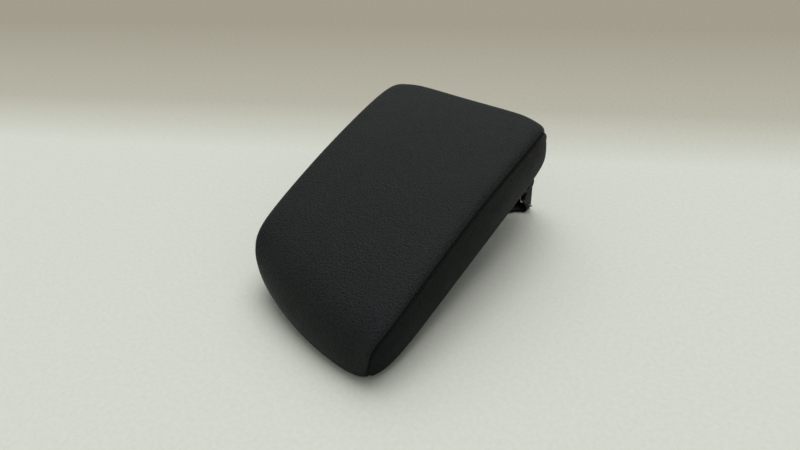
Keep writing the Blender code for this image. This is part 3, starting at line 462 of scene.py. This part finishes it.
def top_distances(column):
    """Distances of the top panel's rows down a column, close together just above the seam."""
    near = near_offsets(column, column.seam)
    last = min(column.seam - near[0], column.rim)
    distances = column.spread(0.0, last, FAR_ROWS)
    shares = [1 - offset / near[0] for offset in near[1:]] + [1.0]
    evenly = column.spread(last, column.seam, len(near))[1:]
    loose = smooth_share(column.seam - last, *LOOSE_FADE)
    for share, distance in zip(shares, evenly):
        close = last + (column.seam - last) * share
        distances.append(close + (distance - close) * loose)
    return distances


def top_mesh(name, columns):
    rows = []
    for share in CROWN_SHARES:
        ring = crown_ring(columns, share)
        rows.append([(place, OFF_SEAM, column.run, 0.0) for place, column in zip(ring, columns)])
    per_column = [grid_points(column, top_distances(column)) for column in columns]
    rows += [list(row) for row in zip(*per_column)]
    return grid_mesh(name, rows, centre=Vector((0, 0, top_height(0))))


def side_distances(column):
    """Distances of a side panel's rows down a column, close together just below the seam."""
    near = near_offsets(column, column.length - column.seam)
    distances = [column.seam] + [column.seam + offset for offset in reversed(near[1:])]
    return distances + column.spread(column.seam + near[0], column.length, FAR_ROWS)


def side_mesh(name, columns, side):
    """The side panel on the right (1) or on the left (-1)."""
    opposite = min(range(len(columns)), key=lambda k: columns[k].normal.x * side)
    ordered = columns[opposite:] + columns[:opposite]
    inside = [k for k, column in enumerate(ordered) if column.point[1] * side > 0 and column.share < 1.0]
    sewn_on = ordered[inside[0] - 1:inside[-1] + 2]
    per_column = [grid_points(column, side_distances(column)) for column in sewn_on]
    return grid_mesh(name, [list(row) for row in zip(*per_column)], closed=False)


def add_piece(name, mesh, material, matrix):
    """An object of the mesh, moved by the matrix."""
    mesh.materials.append(material)
    mesh.transform(matrix)
    return add_object(name, mesh)


def apply_modifiers(piece):
    """Replaces the piece's mesh with what its modifiers make of it."""
    deps = bpy.context.evaluated_depsgraph_get()
    mesh = bpy.data.meshes.new_from_object(piece.evaluated_get(deps))
    piece.modifiers.clear()
    piece.data = mesh


def face_outwards(piece, inside):
    """Turns the piece's faces away from a point inside the lid."""
    mesh = piece.data
    largest = max(mesh.polygons, key=lambda face: face.area)
    if largest.normal.dot(largest.center - inside) < 0:
        mesh.flip_normals()


def skin_mesh(columns):
    """The whole pad as one closed skin."""
    bm = bmesh.new()
    rows = [crown_ring(columns, share) for share in CROWN_SHARES]
    per_column = [[c.place(d) for d in c.spread(0.0, c.length, SKIN_ROWS)] for c in columns]
    rows += [list(row) for row in zip(*per_column)]
    made = [[bm.verts.new(place) for place in row] for row in rows]
    count = len(columns)
    for upper, lower in zip(made, made[1:]):
        for k in range(count):
            after = (k + 1) % count
            bm.faces.new((upper[k], lower[k], lower[after], upper[after]))
    for ring, height in ((made[0], top_height(0)), (made[-1], 0.0)):
        middle = bm.verts.new((0, 0, height))
        for k in range(count):
            bm.faces.new((middle, ring[k], ring[(k + 1) % count]))
    bmesh.ops.recalc_face_normals(bm, faces=bm.faces)
    mesh = bpy.data.meshes.new("skin")
    bm.to_mesh(mesh)
    bm.free()
    return mesh


def hold_edges(skin, columns):
    """Puts the skin's points near the seams and the rim in a vertex group, and gives its name."""
    seams = KDTree(len(columns))
    for k, column in enumerate(columns):
        seams.insert(column.place(column.seam), k)
    seams.balance()
    held = skin.vertex_groups.new(name="held")
    for vertex in skin.data.vertices:
        near_seam = 1.0 - smooth_share(seams.find(vertex.co)[2], *HOLD_BY_SEAM)
        near_rim = 1.0 - smooth_share(vertex.co.z, *HOLD_BY_RIM)
        held.add([vertex.index], max(near_seam, near_rim), "REPLACE")
    return held.name


def simulate_swelling(columns):
    """Blows the cover up over its foam in a short cloth simulation, held along the seams and the rim.

    Gives a tree of places and how far the cloth moved at each.
    """
    skin = add_object("skin", skin_mesh(columns))
    remesh = skin.modifiers.new("remesh", "REMESH")
    remesh.mode = "VOXEL"
    remesh.voxel_size = CLOTH_CELL
    apply_modifiers(skin)
    rest = [v.co.copy() for v in skin.data.vertices]
    held = hold_edges(skin, columns)
    cloth = skin.modifiers.new("cloth", "CLOTH")
    for key, value in CLOTH_SETTINGS.items():
        setattr(cloth.settings, key, value)
    cloth.settings.effector_weights.gravity = 0.0
    cloth.settings.vertex_group_mass = held
    cloth.point_cache.frame_start = 1
    cloth.point_cache.frame_end = CLOTH_FRAMES
    scene = bpy.context.scene
    for frame in range(1, CLOTH_FRAMES + 1):
        scene.frame_set(frame)
    deps = bpy.context.evaluated_depsgraph_get()
    moves = [v.co - start for v, start in zip(skin.evaluated_get(deps).data.vertices, rest)]
    scene.frame_set(1)
    bpy.data.objects.remove(skin)
    tree = KDTree(len(rest))
    for k, place in enumerate(rest):
        tree.insert(place, k)
    tree.balance()
    return tree, moves


def swell(mesh, tree, moves):
    """Moves a panel as the cloth moved, by no more than a cap, and not at all on its seam."""
    off = mesh.attributes["seam_off"].data
    largest = 0.0
    for vertex in mesh.vertices:
        total, weights = Vector(), 0.0
        for _, k, distance in tree.find_n(vertex.co, SWELL_NEIGHBOURS):
            weight = 1 / (distance + SWELL_BLUR) ** 2
            total += moves[k] * weight
            weights += weight
        step = total / weights
        largest = max(largest, step.length)
        if step.length > 0:
            step *= SWELL_CAP * math.tanh(step.length / SWELL_CAP) / step.length
        off_seam = smooth_share(abs(off[vertex.index].value), *SWELL_BY_SEAM)
        off_rim = smooth_share(vertex.co.z, *SWELL_BY_RIM)
        fade = off_seam * off_rim
        vertex.co += step * fade
    print(f"{mesh.name}: the cloth moved by up to {largest * 1000:.2f} mm before the cap")


def sew(piece, side_panel):
    """Draws the leather in along the seam, and raises the folded edge beside it on the side panels."""
    mesh = piece.data
    off = mesh.attributes["seam_off"].data
    sewn = mesh.attributes["sewn"].data
    normals = [v.normal.copy() for v in mesh.vertices]
    for vertex, normal in zip(mesh.vertices, normals):
        distance = abs(off[vertex.index].value)
        amount = -SEAM_DEPTH * math.exp(-((distance / SEAM_WIDTH) ** 2))
        if side_panel:
            amount += RIDGE_HEIGHT * math.exp(-(((distance - RIDGE_PLACE) / RIDGE_WIDTH) ** 2))
        else:
            amount -= SHOULDER_DEPTH * math.exp(-((distance / SHOULDER_WIDTH) ** 2))
        vertex.co += normal * amount * sewn[vertex.index].value


def make_cover_panel(name, mesh, material, matrix, inside, side_panel):
    """A panel of the cover in its final place: smoothed, sewn, and as thick as leather."""
    piece = add_piece(name, mesh, material, matrix)
    face_outwards(piece, inside)
    smooth = piece.modifiers.new("smooth", "SUBSURF")
    smooth.levels = SUBDIVISIONS
    smooth.render_levels = SUBDIVISIONS
    smooth.boundary_smooth = "PRESERVE_CORNERS"
    apply_modifiers(piece)
    sew(piece, side_panel)
    solid = piece.modifiers.new("leather", "SOLIDIFY")
    solid.thickness = LEATHER
    solid.offset = -1
    apply_modifiers(piece)
    piece.data.shade_smooth()
    return piece


# Materials

class Nodes:
    """A short way to write a material's nodes."""

    def __init__(self, name):
        self.material = bpy.data.materials.new(name)
        self.material.use_nodes = True
        self.tree = self.material.node_tree
        self.shader = self.tree.nodes["Principled BSDF"]

    def fill(self, socket, value):
        """Links a socket to another one, or sets its value, with an alpha of 1 for a colour."""
        if isinstance(value, bpy.types.NodeSocket):
            self.tree.links.new(value, socket)
        elif socket.type == "RGBA":
            socket.default_value = (*value, 1.0)
        else:
            socket.default_value = value

    def add(self, kind, values=None, **settings):
        node = self.tree.nodes.new(kind)
        for key, value in settings.items():
            setattr(node, key, value)
        for key, value in (values or {}).items():
            self.fill(node.inputs[key], value)
        return node

    def coordinates(self):
        return self.add("ShaderNodeTexCoord").outputs["Object"]

    def attribute(self, name):
        return self.add("ShaderNodeAttribute", attribute_name=name).outputs["Fac"]

    def noise(self, vector, scale, detail=3.0, roughness=0.5):
        values = {"Vector": vector, "Scale": scale, "Detail": detail, "Roughness": roughness}
        return self.add("ShaderNodeTexNoise", values).outputs["Fac"]

    def cells(self, vector, scale):
        values = {"Vector": vector, "Scale": scale}
        return self.add("ShaderNodeTexVoronoi", values).outputs["Distance"]

    def soft_cells(self, vector, scale, smoothness):
        values = {"Vector": vector, "Scale": scale, "Smoothness": smoothness}
        return self.add("ShaderNodeTexVoronoi", values, feature="SMOOTH_F1").outputs["Distance"]

    def remap(self, value, source, target=(0.0, 1.0)):
        """Turns one range of values into another, clamped at its ends."""
        values = {"Value": value, "From Min": source[0], "From Max": source[1],
                  "To Min": target[0], "To Max": target[1]}
        return self.add("ShaderNodeMapRange", values).outputs["Result"]

    def math(self, operation, first, second=0.0):
        return self.add("ShaderNodeMath", {0: first, 1: second}, operation=operation).outputs[0]

    def plus(self, first, second):
        return self.math("ADD", first, second)

    def times(self, first, second):
        return self.math("MULTIPLY", first, second)

    def blend(self, share, first, second):
        """Mixes two colours."""
        node = self.add("ShaderNodeMix", data_type="RGBA")
        share_socket = node.inputs[0]
        first_socket, second_socket = node.inputs[6:8]
        self.fill(share_socket, share)
        self.fill(first_socket, first)
        self.fill(second_socket, second)
        return node.outputs[2]

    def bump(self, height, distance, strength, after=None):
        values = {"Height": height, "Distance": distance, "Strength": strength}
        if after is not None:
            values["Normal"] = after
        return self.add("ShaderNodeBump", values).outputs["Normal"]

    def set(self, **values):
        """Sets the shader's sockets, named with underscores for spaces, and gives the material."""
        for key, value in values.items():
            self.fill(self.shader.inputs[key.replace("_", " ")], value)
        return self.material


def gathering(n):
    """A ripple along the seam, one wave per stitch, that fades out beside it."""
    wave = n.math("SINE", n.times(n.attribute("seam_run"), 2 * math.pi / STITCH_PITCH))
    near = n.remap(n.math("ABSOLUTE", n.attribute("seam_off")), GATHER_REACH, (1.0, 0.0))
    return n.times(n.times(wave, near), n.attribute("sewn"))


def leather_material(name, shade, gloss):
    """Fine-grained leather, gathered a little along its seams.

    Shade scales its tone: above 1 it paints light into it, below 1 it paints shade. Gloss is how much it
    mirrors.
    """
    n = Nodes(name)
    at = n.coordinates()
    greenish, bluish, crease_shade = [tuple(channel * shade for channel in colour) for colour in LEATHER_TONES]
    pebbles = n.soft_cells(at, scale=640.0, smoothness=0.40)
    domes = n.remap(pebbles, (0.0, 0.75), (1.0, 0.0))
    pores = n.times(n.noise(at, scale=3200.0, detail=2.0), 0.35)
    uneven = n.bump(n.noise(at, scale=130.0), distance=0.0010, strength=0.12)
    gathered = n.bump(gathering(n), distance=0.00018, strength=0.8, after=uneven)
    grained = n.bump(n.plus(domes, pores), distance=0.00060, strength=0.90, after=gathered)
    hue = n.remap(n.noise(at, scale=22.0, detail=4.0), MID_NOISE)
    tone = n.blend(hue, greenish, bluish)
    # the creases between the pebbles darken towards the third tone: painted shade
    colour = n.blend(n.remap(pebbles, (0.35, 0.80), (0.0, 0.55)), tone, crease_shade)
    rough = n.remap(n.noise(at, scale=60.0, detail=4.0), MOST_NOISE, LEATHER_ROUGHNESS)
    return n.set(Base_Color=colour, Roughness=rough, Normal=grained, Specular_IOR_Level=gloss)


def plastic_material():
    """Moulded plastic with a fine texture, flow marks and scuffs."""
    n = Nodes("black_plastic_moulded")
    at = n.coordinates()
    grain = n.plus(n.soft_cells(at, scale=1300.0, smoothness=0.7),
                   n.times(n.noise(at, scale=3000.0, detail=2.0), 0.5))
    flow = n.noise(at, scale=35.0, detail=4.0)
    scuffs = n.noise(at, scale=300.0, detail=6.0, roughness=0.7)
    tone = n.blend(flow, *PLASTIC_TONES)
    colour = n.blend(n.remap(scuffs, (0.62, 0.75), (0.0, 0.5)), tone, SCUFFED_PLASTIC)
    rough = n.remap(flow, MOST_NOISE, PLASTIC_ROUGHNESS)
    normal = n.bump(grain, distance=0.00008, strength=0.5)
    return n.set(Base_Color=colour, Roughness=rough, Normal=normal, Specular_IOR_Level=0.45)


def coated_steel_material():
    """Black coated steel, with specks where the coating has worn thin."""
    n = Nodes("coated_steel")
    at = n.coordinates()
    wear = n.remap(n.noise(at, scale=160.0, detail=7.0, roughness=0.72), (0.60, 0.66))
    colour = n.blend(wear, COATING, WORN_COATING)
    rough = n.remap(n.noise(at, scale=75.0, detail=4.0), MOST_NOISE, COATING_ROUGHNESS)
    normal = n.bump(n.noise(at, scale=900.0), distance=0.00005, strength=0.5)
    return n.set(Base_Color=colour, Roughness=rough, Metallic=n.times(wear, 0.5), Normal=normal,
                 Specular_IOR_Level=0.05)


def zinc_material():
    """Zinc-plated steel: crystals, streaks and dull patches."""
    n = Nodes("zinc_plated_steel")
    at = n.coordinates()
    flakes = n.cells(at, scale=420.0)
    streaks = n.noise(at, scale=90.0, detail=5.0)
    dullness = n.noise(at, scale=210.0, detail=6.0, roughness=0.7)
    tone = n.blend(streaks, *ZINC_TONES)
    colour = n.blend(n.remap(dullness, (0.55, 0.72), (0.0, 0.7)), tone, DULL_ZINC)
    rough = n.remap(n.plus(flakes, streaks), (0.4, 1.4), ZINC_ROUGHNESS)
    normal = n.bump(flakes, distance=0.00004, strength=0.35)
    return n.set(Base_Color=colour, Roughness=rough, Metallic=1.0, Normal=normal)


def rubber_material():
    """Matt rubber with dust in its pores."""
    n = Nodes("matt_rubber")
    at = n.coordinates()
    dust = n.remap(n.noise(at, scale=420.0, detail=6.0, roughness=0.7), (0.5, 0.75), (0.0, 0.5))
    colour = n.blend(dust, RUBBER, RUBBER_DUST)
    rough = n.remap(dust, (0.0, 0.5), RUBBER_ROUGHNESS)
    normal = n.bump(n.noise(at, scale=1800.0), distance=0.00005, strength=0.5)
    return n.set(Base_Color=colour, Roughness=rough, Normal=normal)


def foam_material():
    """Open-cell foam: a dense field of small pits with thin walls between them, the pits darkened as
    painted shade.
    """
    n = Nodes("open_cell_foam")
    at = n.coordinates()
    pits = n.cells(at, scale=900.0)
    walls = n.plus(pits, n.times(n.cells(at, scale=2100.0), 0.5))
    aged = n.blend(n.noise(at, scale=40.0, detail=4.0), *FOAM_TONES)
    # the pits darken towards a deeper grey: painted shade
    colour = n.blend(n.remap(pits, (0.15, 0.60), (0.6, 0.0)), aged, FOAM_PIT_SHADE)
    rough = n.remap(pits, (0.0, 0.6), FOAM_ROUGHNESS)
    normal = n.bump(walls, distance=0.00040, strength=0.8)
    return n.set(Base_Color=colour, Roughness=rough, Normal=normal, Specular_IOR_Level=0.2)


def bush_material():
    """Bearing plastic in its natural colour."""
    n = Nodes("bearing_plastic")
    at = n.coordinates()
    colour = n.blend(n.remap(n.noise(at, scale=260.0, detail=4.0), MID_NOISE), *BUSH_TONES)
    rough = n.remap(n.noise(at, scale=700.0, detail=2.0), MOST_NOISE, BUSH_ROUGHNESS)
    normal = n.bump(n.noise(at, scale=1500.0, detail=2.0), distance=0.00004, strength=0.4)
    return n.set(Base_Color=colour, Roughness=rough, Normal=normal)


def floor_material():
    """A pale sheet that turns, along a soft straight line, to warmer, darker tones behind it: painted
    shade for the backdrop that rises there.
    """
    n = Nodes("pale_sheet")
    at = n.coordinates()
    parts = n.add("ShaderNodeSeparateXYZ", {0: at})
    behind = n.math("SUBTRACT", parts.outputs["Y"], n.times(parts.outputs["X"], FLOOR_LINE_SLOPE))
    mottle = n.remap(n.noise(at, scale=240.0, detail=5.0, roughness=0.7), MOST_NOISE)
    sheet, rise, backdrop_shade = [n.blend(mottle, *tones) for tones in (SHEET_TONES, RISE_SHADE_TONES, BACKDROP_SHADE_TONES)]
    # the far tones paint the shade of the backdrop rising behind the sheet
    colour = n.blend(n.remap(behind, SHEET_TO_RISE), sheet, rise)
    colour = n.blend(n.remap(behind, RISE_TO_BACKDROP), colour, backdrop_shade)
    return n.set(Base_Color=colour, Roughness=FLOOR_ROUGHNESS, Specular_IOR_Level=0.2)


def make_finishes(leather):
    """One material per slot of the record."""
    return {
        "black_leather": leather,
        "grey_foam": foam_material(),
        "black_plastic": plastic_material(),
        "painted_steel": coated_steel_material(),
        "zinc_steel": zinc_material(),
        "bush_plastic": bush_material(),
        "black_rubber": rubber_material(),
    }


def dress_nodes(frame, finishes):
    slots = {item["node"]: item["material_slot"] for item in frame["record"]["subparts"]}
    for name, node in frame["nodes"].items():
        node.data.materials.clear()
        node.data.materials.append(finishes[slots[name]])


# Stage, light and camera

def add_stage():
    mesh = bpy.data.meshes.new("floor")
    reach = FLOOR_REACH
    corners = [(-reach, -reach, 0), (reach, -reach, 0), (reach, reach, 0), (-reach, reach, 0)]
    mesh.from_pydata(corners, [], [(0, 1, 2, 3)])
    mesh.materials.append(floor_material())
    floor = add_object("floor", mesh)
    floor.location.z = -FLOOR_DROP


def add_lights():
    """Two wide soft lamps, and an even room. A share is the light that reaches level ground."""
    for name, direction, spread, share in LAMPS:
        light = bpy.data.lights.new(name, "SUN")
        light.energy = share * math.pi / direction.normalized().z
        light.angle = spread
        lamp = add_object(name, light)
        lamp.rotation_euler = direction.to_track_quat("Z", "Y").to_euler()
    world = bpy.data.worlds.new("studio")
    bpy.context.scene.world = world
    world.use_nodes = True
    back = world.node_tree.nodes["Background"]
    back.inputs["Color"].default_value = (ROOM_SHARE, ROOM_SHARE, ROOM_SHARE * ROOM_WARMTH, 1.0)


def add_camera():
    camera = bpy.data.cameras.new("camera")
    camera.sensor_width = SENSOR_WIDTH
    camera.lens = FOCAL_PIXELS / IMAGE_WIDTH * camera.sensor_width
    camera.clip_start = CLIP_START
    obj = add_object("camera", camera)
    back = -CAMERA_FORWARD.normalized()
    right = (CAMERA_RIGHT - back * CAMERA_RIGHT.dot(back)).normalized()
    up = back.cross(right)
    turn = Matrix((right, up, back)).transposed()
    obj.matrix_world = Matrix.Translation(CAMERA_PLACE) @ turn.to_4x4()
    bpy.context.scene.camera = obj


# The whole scene

def lid_matrix():
    """From the lid's own frame to the world, with the lid at rest."""
    pin = Matrix.Translation((0, 0, PIN_HEIGHT))
    return pin @ Matrix.Rotation(LID_PITCH, 4, "X") @ Matrix.Translation(-PIN_IN_LID)


def add_cover(leather, side_leather_painted_shade):
    """The three sewn panels of the cover, in place of the pad's solids."""
    lid = lid_matrix()
    inside = lid @ Vector(INSIDE_LID)
    columns = make_columns()
    meshes = {"cover_top": top_mesh("cover_top", columns),
              "cover_right": side_mesh("cover_right", columns, 1),
              "cover_left": side_mesh("cover_left", columns, -1)}
    tree, moves = simulate_swelling(columns)
    for mesh in meshes.values():
        swell(mesh, tree, moves)
    for name, mesh in meshes.items():
        is_side = name != "cover_top"
        # the side panels take the leather with painted shade, the top the leather with painted light
        material = side_leather_painted_shade if is_side else leather
        piece = make_cover_panel(name, mesh, material, lid, inside, is_side)
        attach(piece, "lid")
        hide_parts(*COVERED_NODES[name])


def main():
    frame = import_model()
    add_camera()
    add_stage()
    add_lights()
    # one leather in two copies: painted light for the top, painted shade for the sides
    leather = leather_material("top_leather_painted_light", *TOP_LEATHER_PAINTED_LIGHT)
    side_leather_painted_shade = leather_material("side_leather_painted_shade", *SIDE_LEATHER_PAINTED_SHADE)
    dress_nodes(frame, make_finishes(leather))
    add_cover(leather, side_leather_painted_shade)
    bpy.context.scene.view_settings.view_transform = "Standard"


main()
